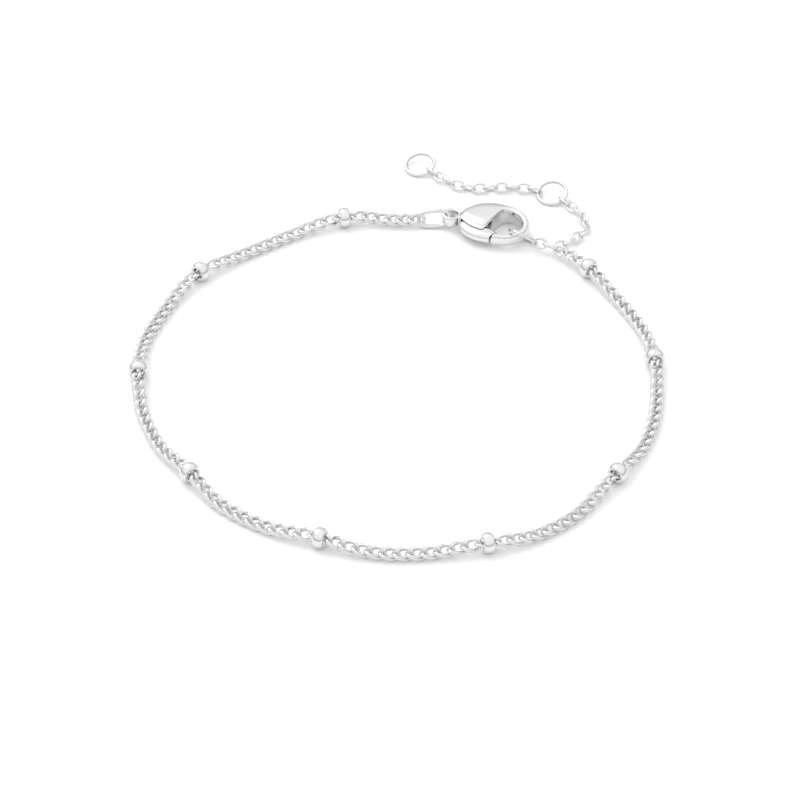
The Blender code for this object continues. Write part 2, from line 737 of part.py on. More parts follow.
def make_jump_ring(middle, pivots, collection, material):
    """An oval of wire with a split, from the strand's first link through the eyelet."""
    first = Vector(pivots[0])
    toward, leaning, _ = leaning_frame(Vector(middle.location) - first, JUMP_RING_LEAN)
    data = bpy.data.curves.new("jump_ring", "CURVE")
    data.dimensions = "3D"
    data.bevel_depth = 0.5 * JUMP_RING_WIRE
    data.bevel_resolution = 1
    data.use_fill_caps = True
    spline = data.splines.new("POLY")
    spline.points.add(JUMP_RING_SIDES - 1)
    half_length = 0.5 * (JUMP_RING_LENGTH - JUMP_RING_WIRE)
    half_width = 0.5 * (JUMP_RING_WIDTH - JUMP_RING_WIRE)
    centre = first + toward * jump_ring_middle_distance()
    power = 2 / JUMP_RING_ROUNDNESS
    for k, point in enumerate(spline.points):
        share = k / (JUMP_RING_SIDES - 1)
        angle = JUMP_RING_SPLIT_AT + 0.5 * JUMP_RING_SPLIT + share * (2 * math.pi - JUMP_RING_SPLIT)
        a = math.copysign(abs(math.cos(angle)) ** power, math.cos(angle))
        b = math.copysign(abs(math.sin(angle)) ** power, math.sin(angle))
        place = centre + toward * (half_length * a) + leaning * (half_width * b)
        point.co = (*place, 1)
    ring = bpy.data.objects.new("jump_ring", data)
    collection.objects.link(ring)
    data.materials.append(material)


def main():
    collection, helpers = empty_scene()
    chain_metal = metal("chain_silver", 0.86, 0.16)
    bead_metal = metal("bead_silver", 0.88, 0.12)
    clasp_metal = metal("clasp_silver", 0.84, 0.12)
    ring_metal = metal("ring_silver", 0.86, 0.14)
    pivots, cores = make_strand(collection, helpers, chain_metal)
    make_beads(pivots, cores, collection, bead_metal)
    middle = make_clasp(collection, helpers, clasp_metal, clasp_metal, clasp_metal)
    make_jump_ring(middle, pivots, collection, ring_metal)
    make_clasp_ring(pivots, collection, ring_metal)
    make_size_rings(collection, ring_metal)
    make_free_cables(collection, chain_metal)


main()
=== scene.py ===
import math

import bpy
import numpy as np
from mathutils import Matrix


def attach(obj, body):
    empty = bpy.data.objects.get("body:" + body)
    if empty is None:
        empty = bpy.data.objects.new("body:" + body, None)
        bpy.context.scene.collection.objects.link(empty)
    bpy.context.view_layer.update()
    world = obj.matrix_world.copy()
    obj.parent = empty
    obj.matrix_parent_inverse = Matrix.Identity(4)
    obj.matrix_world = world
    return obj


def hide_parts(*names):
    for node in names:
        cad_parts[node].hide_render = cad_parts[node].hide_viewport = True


# A curb chain bracelet with rondelle beads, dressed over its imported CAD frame.
# Lengths in the dictionaries are millimetres and angles are degrees.
for leftOver in ("Cube", "Light", "Camera"):
    if leftOver in bpy.data.objects:
        bpy.data.objects.remove(bpy.data.objects[leftOver])

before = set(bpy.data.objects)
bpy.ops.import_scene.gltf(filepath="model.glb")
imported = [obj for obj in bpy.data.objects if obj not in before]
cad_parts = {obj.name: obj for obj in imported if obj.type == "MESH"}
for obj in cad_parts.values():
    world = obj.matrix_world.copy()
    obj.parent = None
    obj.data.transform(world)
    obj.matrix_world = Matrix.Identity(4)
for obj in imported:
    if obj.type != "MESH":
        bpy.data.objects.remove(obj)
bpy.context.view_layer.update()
print("frame loaded:", len(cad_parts), "CAD nodes")


# A smooth curve through rows of numbers: between two rows the values follow the cubic that
# leaves each row in the direction from the row before it to the row after it.
def smoothRows(rows, steps):
    p = np.asarray(rows, float)
    p = np.vstack([2 * p[0] - p[1], p, 2 * p[-1] - p[-2]])
    t = (np.arange(steps) / steps)[None, :, None]
    a, b, c, d = (p[k:len(p) - 3 + k, None, :] for k in range(4))
    spans = 2 * b + (c - a) * t + (2 * a - 5 * b + 4 * c - d) * t ** 2
    spans = 0.5 * (spans + (3 * b - a - 3 * c + d) * t ** 3)
    return np.vstack([spans.reshape(-1, p.shape[1]), p[-2]])


def lengthAlong(line):  # running length of a line at each of its points
    return np.concatenate([[0], np.cumsum(np.linalg.norm(np.diff(line, axis=0), axis=1))])


def pointsAt(line, distances):
    reached = lengthAlong(line)
    return np.column_stack([np.interp(distances, reached, line[:, k]) for k in range(line.shape[1])])


def unit(vectors):
    return vectors / np.linalg.norm(vectors, axis=-1, keepdims=True)


# Quads between the points of a grid. Columns close on themselves, and rows too if asked.
def gridFaces(rows, columns, closeRows=True):
    i = np.arange(rows if closeRows else rows - 1)[:, None]
    j = np.arange(columns)[None, :]
    i2, j2 = (i + 1) % rows, (j + 1) % columns
    corners = [i * columns + j, i * columns + j2, i2 * columns + j2, i2 * columns + j]
    return np.stack(corners, -1).reshape(-1, 4)


# A rounded rectangle: cosine and sine of the angle, each raised to 2 / roundness with its sign kept.
def roundedShape(angle, roundness):
    power = 2 / roundness
    c, s = np.cos(angle), np.sin(angle)
    return np.sign(c) * np.abs(c) ** power, np.sign(s) * np.abs(s) ** power


def aroundCircle(count, phase=0.0):
    return (np.arange(count) + phase) * 2 * math.pi / count


# Round wire about closed lines: at each point of a line stands a circle across its direction,
# counted from the side that faces along the loop's own plane normal. Also gives how far each
# point faces the loop's middle, 0 on the outer side and 1 on the inner: the painted shade's mask.
def wireLoops(lines, radius, sides):
    loops, count, _ = lines.shape
    tangent = unit(np.roll(lines, -1, 1) - np.roll(lines, 1, 1))
    spoke = lines - lines.mean(axis=1, keepdims=True)
    normal = unit(np.cross(spoke, np.roll(spoke, -1, 1)).sum(axis=1, keepdims=True))
    side = unit(normal - (normal * tangent).sum(-1, keepdims=True) * tangent)
    other = np.cross(tangent, side)
    angle = aroundCircle(sides)[None, None, :, None]
    offset = np.cos(angle) * side[:, :, None] + np.sin(angle) * other[:, :, None]
    points = lines[:, :, None] + np.reshape(radius, (-1, 1, 1, 1)) * offset
    inside = 0.5 - 0.5 * (offset * unit(spoke)[:, :, None]).sum(-1)
    base = np.arange(loops)[:, None, None] * count * sides
    faces = base + gridFaces(count, sides)[None]
    return points.reshape(-1, 3), faces.reshape(-1, 4), inside.reshape(-1)


# Round wire about an open line, with a bevelled face at each end.
def wireOpen(line, radius, sides, normal, bevelShare=0.25):
    tangent = unit(np.gradient(line, axis=0))
    side = unit(normal - (tangent @ normal)[:, None] * tangent)
    other = np.cross(tangent, side)
    bevel = bevelShare * radius
    rows = np.vstack([line[0], line, line[-1]])
    rows[0] -= bevel * tangent[0]
    rows[-1] += bevel * tangent[-1]
    width = np.full(len(rows), radius)
    width[[0, -1]] -= bevel
    repeated = [0, *range(len(line)), -1]
    side, other = side[repeated], other[repeated]
    angle = aroundCircle(sides)[None, :, None]
    spokes = np.cos(angle) * side[:, None] + np.sin(angle) * other[:, None]
    return closeEnds(rows[:, None] + width[:, None, None] * spokes)


# Adds the middle of the first and last row as two points and fans the end faces to them.
def closeEnds(grid):
    rows, columns, _ = grid.shape
    flat = np.vstack([grid.reshape(-1, 3), grid[0].mean(axis=0), grid[-1].mean(axis=0)])
    quads = gridFaces(rows, columns, closeRows=False)
    j = np.arange(columns)
    j2 = (j + 1) % columns
    hub = np.full(columns, rows * columns)
    lastRow = (rows - 1) * columns
    first = np.column_stack([hub, j2, j])
    last = np.column_stack([hub + 1, lastRow + j, lastRow + j2])
    return flat, quads.tolist() + first.tolist() + last.tolist()


# A closed profile carried round an axis: distance from the axis times the turning spoke,
# plus the place along the axis.
def turnedRing(radii, places, centre, axis, steps):
    axis = unit(np.asarray(axis, float))
    across = unit(np.cross((0, 0, 1), axis)) if abs(axis[2]) < 0.9 else np.array([1.0, 0, 0])
    up = np.cross(axis, across)
    angle = aroundCircle(steps)[:, None, None]
    spoke = np.cos(angle) * across + np.sin(angle) * up
    points = centre + radii[None, :, None] * spoke - places[None, :, None] * axis
    return points.reshape(-1, 3), gridFaces(steps, len(radii))


# Depth of a lip's grooves: a bell-shaped dip at each groove's distance from the inner edge,
# faded in and out along the sections by S-shaped steps, on the upper and lower faces only.
def grooveDepth(lip, place, away, v):
    fadeIn = 1 + np.exp((lip["firstSection"] - place) / lip["fadeLength"])
    fadeOut = 1 + np.exp((place - lip["lastSection"]) / lip["fadeLength"])
    dips = [share * np.exp(-((away - fromEdge) / lip["width"]) ** 2) for fromEdge, share in lip["grooves"]]
    return lip["depth"] / fadeIn / fadeOut * sum(dips) * (np.abs(v) > lip["flatFrom"])


# A solid through sections that stand on edge: each runs from an outer to an inner point with
# a rounded rectangle's outline.
def lofted(piece, sections, thickness, lip=None):
    rows = smoothRows(sections, piece["stepsPerSection"])
    reach, width = clasp["reach"], clasp["width"]
    outer, inner = rows[:, 0:2] * (reach, width), rows[:, 2:4] * (reach, width)
    middle, half = 0.5 * (outer + inner), 0.5 * (outer - inner)
    u, v = roundedShape(aroundCircle(piece["columns"], 0.5), piece["roundness"])
    z = 0.5 * thickness * rows[:, 4:5] * v
    if lip:
        place = np.linspace(0, len(sections) - 1, len(rows))[:, None]
        away = (u + 1) * np.linalg.norm(half, axis=1)[:, None]
        z -= np.sign(v) * grooveDepth(lip, place, away, v)
    grid = np.concatenate([middle[:, None] + half[:, None] * u[:, None], z[:, :, None]], axis=-1)
    ends = []
    for row, towards in ((grid[0], middle[0] - middle[1]), (grid[-1], middle[-1] - middle[-2])):
        shift = np.append(unit(towards) * piece["endBevel"], 0)
        centre = row.mean(axis=0)
        ends.append(centre + piece["endShare"] * (row - centre) + shift)
    return closeEnds(np.concatenate([ends[0][None], grid, ends[1][None]]))


# Puts points (millimetres) and faces into a mesh. Faces that come out facing inwards are turned.
def meshOf(name, points, faces, inside=None):
    points = np.asarray(points, float)
    if isinstance(faces, np.ndarray):
        faces = faces.tolist()
    corners = np.array([face[:3] for face in faces])
    closing = np.array([[face[0], face[-2], face[-1]] for face in faces if len(face) > 3]).reshape(-1, 3)
    triangles = points[np.vstack([corners, closing])]
    if np.einsum("ij,ij->i", triangles[:, 0], np.cross(triangles[:, 1], triangles[:, 2])).sum() < 0:
        faces = [face[::-1] for face in faces]
    mesh = bpy.data.meshes.new(name)
    mesh.from_pydata((points * 0.001).tolist(), [], faces)
    if inside is not None:
        mesh.attributes.new("inside", "FLOAT", "POINT").data.foreach_set("value", inside.astype(np.float32))
    mesh.polygons.foreach_set("use_smooth", np.ones(len(mesh.polygons), bool))
    mesh.update()
    return mesh


def addPiece(name, mesh, material, nodes, body="bracelet", sharp=None):
    if sharp:
        mesh.set_sharp_from_angle(angle=math.radians(sharp))
    mesh.materials.clear()
    mesh.materials.append(material)
    piece = bpy.data.objects.new(name, mesh)
    bpy.context.scene.collection.objects.link(piece)
    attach(piece, body)
    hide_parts(*nodes)
    print("made", name, len(mesh.polygons), "faces")
    return piece


# Cuts and joins done with helper objects, which go when the mesh is finished.
def booleaned(mesh, steps):
    target = bpy.data.objects.new("booleanTarget", mesh)
    bpy.context.scene.collection.objects.link(target)
    helpers = []
    for operation, other in steps:
        helper = bpy.data.objects.new("booleanHelper", other)
        bpy.context.scene.collection.objects.link(helper)
        helpers.append(helper)
        modifier = target.modifiers.new(operation, "BOOLEAN")
        modifier.operation = operation
        modifier.solver = "EXACT"
        modifier.object = helper
    bpy.context.view_layer.update()
    done = bpy.data.meshes.new_from_object(target.evaluated_get(bpy.context.evaluated_depsgraph_get()))
    for helper in (target, *helpers):
        bpy.data.objects.remove(helper)
    done.polygons.foreach_set("use_smooth", np.ones(len(done.polygons), bool))
    return done


def nodeIn(tree, kind, **values):
    node = tree.nodes.new(kind)
    for key, value in values.items():
        if key in node.inputs:
            node.inputs[key].default_value = value
        else:
            setattr(node, key, value)
    return node


wearAndShadeLook = {
    "mottle": {"Detail": 3.0, "Roughness": 0.55},
    "scratch": {"Detail": 2.0, "Roughness": 0.6},
    "stretch": {"Scale": (1.0, 9.0, 3.0), "Rotation": (0.0, 0.3, 0.6)},  # draws the scratches out
    # painted shade: how sharply the colour darkens towards the wire's inner side
    "insidePower": 1.6,
    "mottleRange": (0.3, 0.7),
    "scratchDepth": 0.00002,
    "inputs": {"Scale": 900.0, "Low Roughness": 0.08, "High Roughness": 0.2, "Shade": 0.4, "Mottle": 0.06},
}


# Polished silver that has been handled: a soft mottling in tone and gloss, fine drawn
# scratches, and painted shade that darkens the colour on the wire's inner side.
def buildSilverGroup():
    group = bpy.data.node_groups.new("silverWearAndShade", "ShaderNodeTree")
    face = group.interface
    for name, value in wearAndShadeLook["inputs"].items():
        face.new_socket(name, in_out="INPUT", socket_type="NodeSocketFloat").default_value = value
    face.new_socket("Tint", in_out="INPUT", socket_type="NodeSocketColor")
    face.new_socket("Color", in_out="OUTPUT", socket_type="NodeSocketColor")
    face.new_socket("Roughness", in_out="OUTPUT", socket_type="NodeSocketFloat")
    face.new_socket("Height", in_out="OUTPUT", socket_type="NodeSocketFloat")
    given = nodeIn(group, "NodeGroupInput")
    result = nodeIn(group, "NodeGroupOutput")
    place = nodeIn(group, "ShaderNodeTexCoord")
    mottle = nodeIn(group, "ShaderNodeTexNoise", **wearAndShadeLook["mottle"])
    scratch = nodeIn(group, "ShaderNodeTexNoise", **wearAndShadeLook["scratch"])
    stretch = nodeIn(group, "ShaderNodeMapping", **wearAndShadeLook["stretch"])
    # painted shade: the inner side's share, raised to a power and times Shade, is taken off the colour
    inside = nodeIn(group, "ShaderNodeAttribute", attribute_name="inside")
    inward = nodeIn(group, "ShaderNodeMath", operation="POWER")
    inward.inputs[1].default_value = wearAndShadeLook["insidePower"]
    shaded = nodeIn(group, "ShaderNodeMath", operation="MULTIPLY")
    mottled = nodeIn(group, "ShaderNodeMath", operation="MULTIPLY")
    less = nodeIn(group, "ShaderNodeMath", operation="SUBTRACT")
    less.inputs[0].default_value = 1.0
    lesser = nodeIn(group, "ShaderNodeMath", operation="SUBTRACT")
    tinted = nodeIn(group, "ShaderNodeMix", data_type="RGBA", blend_type="MULTIPLY")
    tinted.inputs["Factor"].default_value = 1.0
    gloss = nodeIn(group, "ShaderNodeMapRange")
    gloss.inputs["From Min"].default_value, gloss.inputs["From Max"].default_value = wearAndShadeLook["mottleRange"]
    link = group.links.new
    link(place.outputs["Object"], mottle.inputs["Vector"])
    link(given.outputs["Scale"], mottle.inputs["Scale"])
    link(place.outputs["Object"], stretch.inputs["Vector"])
    link(stretch.outputs["Vector"], scratch.inputs["Vector"])
    link(given.outputs["Scale"], scratch.inputs["Scale"])
    link(inside.outputs["Fac"], inward.inputs[0])
    link(inward.outputs[0], shaded.inputs[0])
    link(given.outputs["Shade"], shaded.inputs[1])
    link(mottle.outputs["Fac"], mottled.inputs[0])
    link(given.outputs["Mottle"], mottled.inputs[1])
    link(shaded.outputs[0], less.inputs[1])
    link(less.outputs[0], lesser.inputs[0])
    link(mottled.outputs[0], lesser.inputs[1])
    link(given.outputs["Tint"], tinted.inputs["A"])
    link(lesser.outputs[0], tinted.inputs["B"])
    link(mottle.outputs["Fac"], gloss.inputs["Value"])
    link(given.outputs["Low Roughness"], gloss.inputs["To Min"])
    link(given.outputs["High Roughness"], gloss.inputs["To Max"])
    link(tinted.outputs["Result"], result.inputs["Color"])
    link(gloss.outputs["Result"], result.inputs["Roughness"])
    link(scratch.outputs["Fac"], result.inputs["Height"])
    return group


silverWearAndShade = buildSilverGroup()


def silver(name, look):
    material = bpy.data.materials.new(name)
    material.use_nodes = True
    tree = material.node_tree
    shader = tree.nodes["Principled BSDF"]
    shader.inputs["Metallic"].default_value = 1.0
    wearAndShade = nodeIn(tree, "ShaderNodeGroup")
    wearAndShade.node_tree = silverWearAndShade
    wearAndShade.inputs["Scale"].default_value = look["scale"]
    wearAndShade.inputs["Low Roughness"].default_value = look["roughness"][0]
    wearAndShade.inputs["High Roughness"].default_value = look["roughness"][1]
    wearAndShade.inputs["Shade"].default_value = look["shade"]
    wearAndShade.inputs["Mottle"].default_value = look["mottle"]
    wearAndShade.inputs["Tint"].default_value = (*look["tint"], 1.0)
    bump = nodeIn(tree, "ShaderNodeBump")
    bump.inputs["Strength"].default_value = look["bump"]
    bump.inputs["Distance"].default_value = wearAndShadeLook["scratchDepth"]
    tree.links.new(wearAndShade.outputs["Color"], shader.inputs["Base Color"])
    tree.links.new(wearAndShade.outputs["Roughness"], shader.inputs["Roughness"])
    tree.links.new(wearAndShade.outputs["Height"], bump.inputs["Height"])
    tree.links.new(bump.outputs["Normal"], shader.inputs["Normal"])
    return material


finishes = {  # roughness runs from the glossy to the dull spots
    "chainSilver": {
        "tint": (0.92, 0.92, 0.915), "roughness": (0.13, 0.21), "scale": 900,
        "shade": 0.10, "mottle": 0.03, "bump": 0.08,
    },
    "beadSilver": {
        "tint": (0.93, 0.93, 0.925), "roughness": (0.08, 0.15), "scale": 700,
        "shade": 0.2, "mottle": 0.04, "bump": 0.06,
    },
    "claspSilver": {
        "tint": (0.93, 0.93, 0.925), "roughness": (0.09, 0.15), "scale": 500,
        "shade": 0.0, "mottle": 0.04, "bump": 0.14,
    },
    "ringSilver": {
        "tint": (0.86, 0.86, 0.855), "roughness": (0.08, 0.15), "scale": 600,
        "shade": 0.15, "mottle": 0.04, "bump": 0.06,
    },
}
chainSilver, beadSilver, claspSilver, ringSilver = (silver(name, look) for name, look in finishes.items())
print("finishes made")


strand = {
    "route": (  # over the surface; each run after the first starts at the middle of a bead
        ((2.65, 20.1), (-0.3, 20.2), (-3.0, 20.5)),
        ((-5.74, 20.3), (-8.1, 19.45), (-10.7, 18.2), (-13.3, 16.6), (-16.3, 14.6), (-19.0, 12.6)),
        ((-20.89, 11.1), (-23.5, 7.05), (-25.6, 2.15), (-26.3, -0.7)),
        ((-26.55, -4.85), (-26.2, -8.5), (-25.5, -11.85), (-23.4, -16.7)),
        ((-20.55, -20.3), (-18.3, -23.6), (-15.3, -26.2), (-12.5, -27.9), (-9.8, -29.0)),
        ((-7.45, -29.6), (-4.9, -30.75), (-0.3, -31.55), (4.4, -31.25)),
        ((8.85, -30.4), (12.2, -29.55), (15.0, -28.0), (17.8, -25.7)),
        ((21.9, -20.4), (24.3, -16.8), (26.0, -11.9), (26.6, -6.5)),
        ((26.5, -2.95), (25.6, 1.85), (23.5, 6.45), (22.2, 8.5)),
        ((20.35, 11.65), (18.6, 13.5), (16.9, 15.05), (14.686, 15.960)),
    ),
    "curbPitch": 1.29,
    "corePitch": 2.024,      # the narrow link that each bead sits on
    "endCurbLinks": 2,
    "endCableLinks": 3,
    "restingHeight": 0.54,
    "leaningHeight": 0.14,   # what leaning to the front adds
    "faceFront": 28.0,       # how far the flat of the chain leans to the front where it runs sideways
    "beadHeight": 1.09,
    "endHeights": (0.904, 1.194),
    "riseLength": 5.2,
    "samples": 24,
}
curbLink = {"wire": 0.405, "width": 1.46, "reach": 0.64, "twist": 0.76}  # reach and twist: shares of the wire
coreLink = {"wire": 0.33, "width": 0.96, "reach": 0.66, "twist": 0.85}
cableLink = {"wire": 0.28, "width": 1.27, "reach": 0.60, "twist": 0.0, "roll": 45.0}
claspCableLink = {"wire": 0.33, "width": 1.34, "reach": 0.46, "twist": 0.0, "roll": 45.0}
linkMesh = {"points": 26, "sides": 10}


# Middle lines of links: along a link the cosine of the angle times half its length, across it
# the sine times half its width, and out of its plane the twist times the sine of twice the angle.
def linkLines(start, end, wire, width, reach, twist, roll):
    length = np.linalg.norm(end - start, axis=1)
    along = unit(end - start)
    across = unit(np.cross((0, 0, 1), along))
    up = np.cross(along, across)
    turned = np.cos(roll)[:, None] * across + np.sin(roll)[:, None] * up
    above = np.cross(along, turned)
    angle = aroundCircle(linkMesh["points"], 0.5)
    steps = (
        ((0.5 * length + reach * wire)[:, None] * np.cos(angle), along),
        ((0.5 * (width - wire))[:, None] * np.sin(angle), turned),
        ((twist * wire)[:, None] * np.sin(2 * angle), above),
    )
    return (0.5 * (start + end))[:, None] + sum(size[:, :, None] * way[:, None] for size, way in steps)


def chainMesh(name, pivots, kinds, rolls):
    sizes = {key: np.array([kind[key] for kind in kinds]) for key in ("wire", "width", "reach", "twist")}
    lines = linkLines(pivots[:-1], pivots[1:], **sizes, roll=np.radians(rolls))
    return meshOf(name, *wireLoops(lines, 0.5 * sizes["wire"], linkMesh["sides"]))


def strandSteps(beadPlaces, length):
    kinds, pitches, reached = [], [], 0.0
    for place in beadPlaces:
        run = place - 0.5 * strand["corePitch"] - reached
        count = round(run / strand["curbPitch"])
        kinds += [curbLink] * count + [coreLink]
        pitches += [run / count] * count + [strand["corePitch"]]
        reached = place + 0.5 * strand["corePitch"]
    kinds += [curbLink] * strand["endCurbLinks"] + [claspCableLink] * strand["endCableLinks"]
    pitches += [strand["curbPitch"]] * strand["endCurbLinks"]
    rest = length - reached - strand["endCurbLinks"] * strand["curbPitch"]
    pitches += [rest / strand["endCableLinks"]] * strand["endCableLinks"]
    return kinds, np.array(pitches)


# Height of the strand's middle line: the resting height, more where the chain leans to the
# front, plus a cosine-squared hill at each bead and at both ends.
def strandHeights(places, beadPlaces, sideways):
    resting = strand["restingHeight"] + strand["leaningHeight"] * np.abs(sideways)
    heights = resting.copy()
    hills = [(place, 0.5 * strand["corePitch"], strand["beadHeight"]) for place in beadPlaces]
    hills += [(places[0], 0, strand["endHeights"][0]), (places[-1], 0, strand["endHeights"][1])]
    for place, level, top in hills:
        near = np.clip((np.abs(places - place) - level) / strand["riseLength"], 0, 1)
        heights += (top - resting) * np.cos(0.5 * math.pi * near) ** 2
    return heights


strandLine = smoothRows([point for run in strand["route"] for point in run], strand["samples"])
beadRows = np.cumsum([len(run) for run in strand["route"][:-1]]) * strand["samples"]
beadPlaces = lengthAlong(strandLine)[beadRows]
kinds, pitches = strandSteps(beadPlaces, lengthAlong(strandLine)[-1])
places = np.concatenate([[0], np.cumsum(pitches)])
flatPivots = pointsAt(strandLine, places)
sideways = unit(np.gradient(flatPivots, axis=0))[:, 0]
strandPivots = np.column_stack([flatPivots, strandHeights(places, beadPlaces, sideways)])
cores = [number for number, kind in enumerate(kinds) if kind is coreLink]
# the curb chain turns its flat side towards the front, and the cable links alternate
rolls = strand["faceFront"] * 0.5 * (sideways[1:] + sideways[:-1])
for number in range(kinds.index(claspCableLink), len(kinds)):
    rolls[number] = -claspCableLink["roll"] * (-1) ** (len(kinds) - 1 - number)
firstRight = cores[len(cores) // 2] + 2  # two links past the middle bead's core link
firstCable = kinds.index(claspCableLink)
for name, node, first, last in (
    ("curbChainLeft", "curb_chain_left", 0, firstRight),
    ("curbChainRight", "curb_chain_right", firstRight, firstCable),
    ("cableChainAtClasp", "cable_chain_at_clasp", firstCable, len(kinds)),
):
    mesh = chainMesh(name, strandPivots[first:last + 1], kinds[first:last], rolls[first:last])
    addPiece(name, mesh, chainSilver, [node])

extension = {
    "pitch": 1.22,
    "height": 0.60,
    "rolls": {"near": (45.0, -45.0), "far": (56.0, -34.0)},  # two links in turn
    "near": (
        (16.92, 15.42), (18.07, 16.3), (19.17, 17.3), (20.0, 18.1), (20.5, 19.1),
        (20.2, 20.5), (19.7, 21.7), (18.9, 22.9), (17.82, 24.22),
    ),
    "far": (
        (15.6, 25.54), (13.97, 26.05), (12.75, 26.1), (11.5, 26.18), (10.2, 26.03), (9.0, 25.96),
        (7.8, 26.05), (6.6, 26.55), (5.7, 27.1), (4.75, 28.0), (3.43, 29.34),
    ),
    "samples": 12,
    "endFade": 8,       # how fast the height leaves that of an end
    "unevenRoll": 6,
    "unevenTurn": 2.3,  # radians from link to link
    "endHeights": {"near": (0.78, 0.55), "far": (0.56, 0.59)},
}
for name, node, key in (
    ("cableChainNear", "cable_chain_near", "near"),
    ("cableChainFar", "cable_chain_far", "far"),
):
    line = smoothRows(extension[key], extension["samples"])
    length = lengthAlong(line)[-1]
    count = round(length / extension["pitch"])
    share = np.linspace(0, 1, count + 1)
    first, last = extension["endHeights"][key]
    level, fade = extension["height"], extension["endFade"]
    heights = level + (first - level) * np.exp(-share * fade) + (last - level) * np.exp(-(1 - share) * fade)
    pivots = np.column_stack([pointsAt(line, share * length), heights])
    # the links roll alternately to one side and the other, and lie a little unevenly
    uneven = extension["unevenRoll"] * np.sin(extension["unevenTurn"] * np.arange(count))
    rolls = np.resize(extension["rolls"][key], count) + uneven
    mesh = chainMesh(name, pivots, [cableLink] * count, rolls)
    addPiece(name, mesh, chainSilver, [node])


# The beads are rounded outlines turned about their core links.
bead = {"radius": 1.08, "hole": 0.50, "length": 1.15, "roundness": 2.05, "steps": 56, "columns": 28}
u, v = roundedShape(aroundCircle(bead["columns"]), bead["roundness"])
radii = 0.5 * (bead["radius"] + bead["hole"]) + 0.5 * (bead["radius"] - bead["hole"]) * u
# painted shade on the bead: its colour darkens towards the hole's side of the outline
inside = np.tile(np.clip(-u, 0, 1), bead["steps"])
for number, core in enumerate(cores, 1):
    start, end = strandPivots[core], strandPivots[core + 1]
    middle = 0.5 * (start + end)
    points, faces = turnedRing(radii, 0.5 * bead["length"] * v, middle, end - start, bead["steps"])
    mesh = meshOf(f"bead{number}", points, faces, inside)
    addPiece(f"bead{number}", mesh, beadSilver, [f"bead_{number}"])


ring = {
    "radius": 1.785, "wire": 0.40, "steps": 80, "sides": 16,
    "size_ring_middle": {"place": (16.9, 25.2, 0.557), "lean": 13.0, "highSide": 60.0},
    "size_ring_end": {"place": (2.5, 30.3, 0.557), "lean": 13.0, "highSide": 45.0},
    "size_ring_at_clasp": {
        "place": (13.496, 16.634, 1.366),
        "toward": (-0.86559, 0.48973, 0.10453), "leaning": (-0.26930, -0.63123, 0.72735),
    },
}
angle = aroundCircle(ring["steps"])[:, None]
for name, node in (
    ("sizeRingMiddle", "size_ring_middle"),
    ("sizeRingEnd", "size_ring_end"),
    ("sizeRingAtClasp", "size_ring_at_clasp"),
):
    own = ring[node]
    if "toward" in own:
        first, second = np.array(own["toward"]), np.array(own["leaning"])
    else:
        lean, turn = math.radians(own["lean"]), math.radians(own["highSide"])
        flat = math.cos(lean)
        first = np.array([flat * math.cos(turn), flat * math.sin(turn), math.sin(lean)])
        second = np.array([-math.sin(turn), math.cos(turn), 0])
    around = np.cos(angle) * first + np.sin(angle) * second
    line = np.array(own["place"]) + (ring["radius"] - 0.5 * ring["wire"]) * around
    mesh = meshOf(name, *wireLoops(line[None], 0.5 * ring["wire"], ring["sides"]))
    addPiece(name, mesh, ringSilver, [node])

jumpRing = {
    "length": 3.74, "width": 2.12, "wire": 0.46, "roundness": 2.8,
    "split": 9.0, "splitAt": 128.0, "lean": 62.0,
    "from": (2.65, 20.1, 0.904), "to": (5.857, 20.150, 1.15), "distance": 1.317,
    "steps": 72, "sides": 16,
}
start, end = np.array(jumpRing["from"]), np.array(jumpRing["to"])
toward = unit(end - start)
across = unit(np.cross((0, 0, 1), toward))
up = np.cross(toward, across)
lean = math.radians(jumpRing["lean"])
leaning = across * math.cos(lean) + up * math.sin(lean)
share = np.linspace(0, 1, jumpRing["steps"])
angle = np.radians(jumpRing["splitAt"] + 0.5 * jumpRing["split"] + share * (360 - jumpRing["split"]))
a, b = roundedShape(angle, jumpRing["roundness"])
halfLength, halfWidth = (0.5 * (jumpRing[key] - jumpRing["wire"]) for key in ("length", "width"))
line = start + toward * jumpRing["distance"]
line = line + halfLength * a[:, None] * toward + halfWidth * b[:, None] * leaning
facing = np.cross(toward, leaning)
mesh = meshOf("jumpRing", *wireOpen(line, 0.5 * jumpRing["wire"], jumpRing["sides"], facing))
addPiece("jumpRing", mesh, ringSilver, ["jump_ring"], sharp=50)


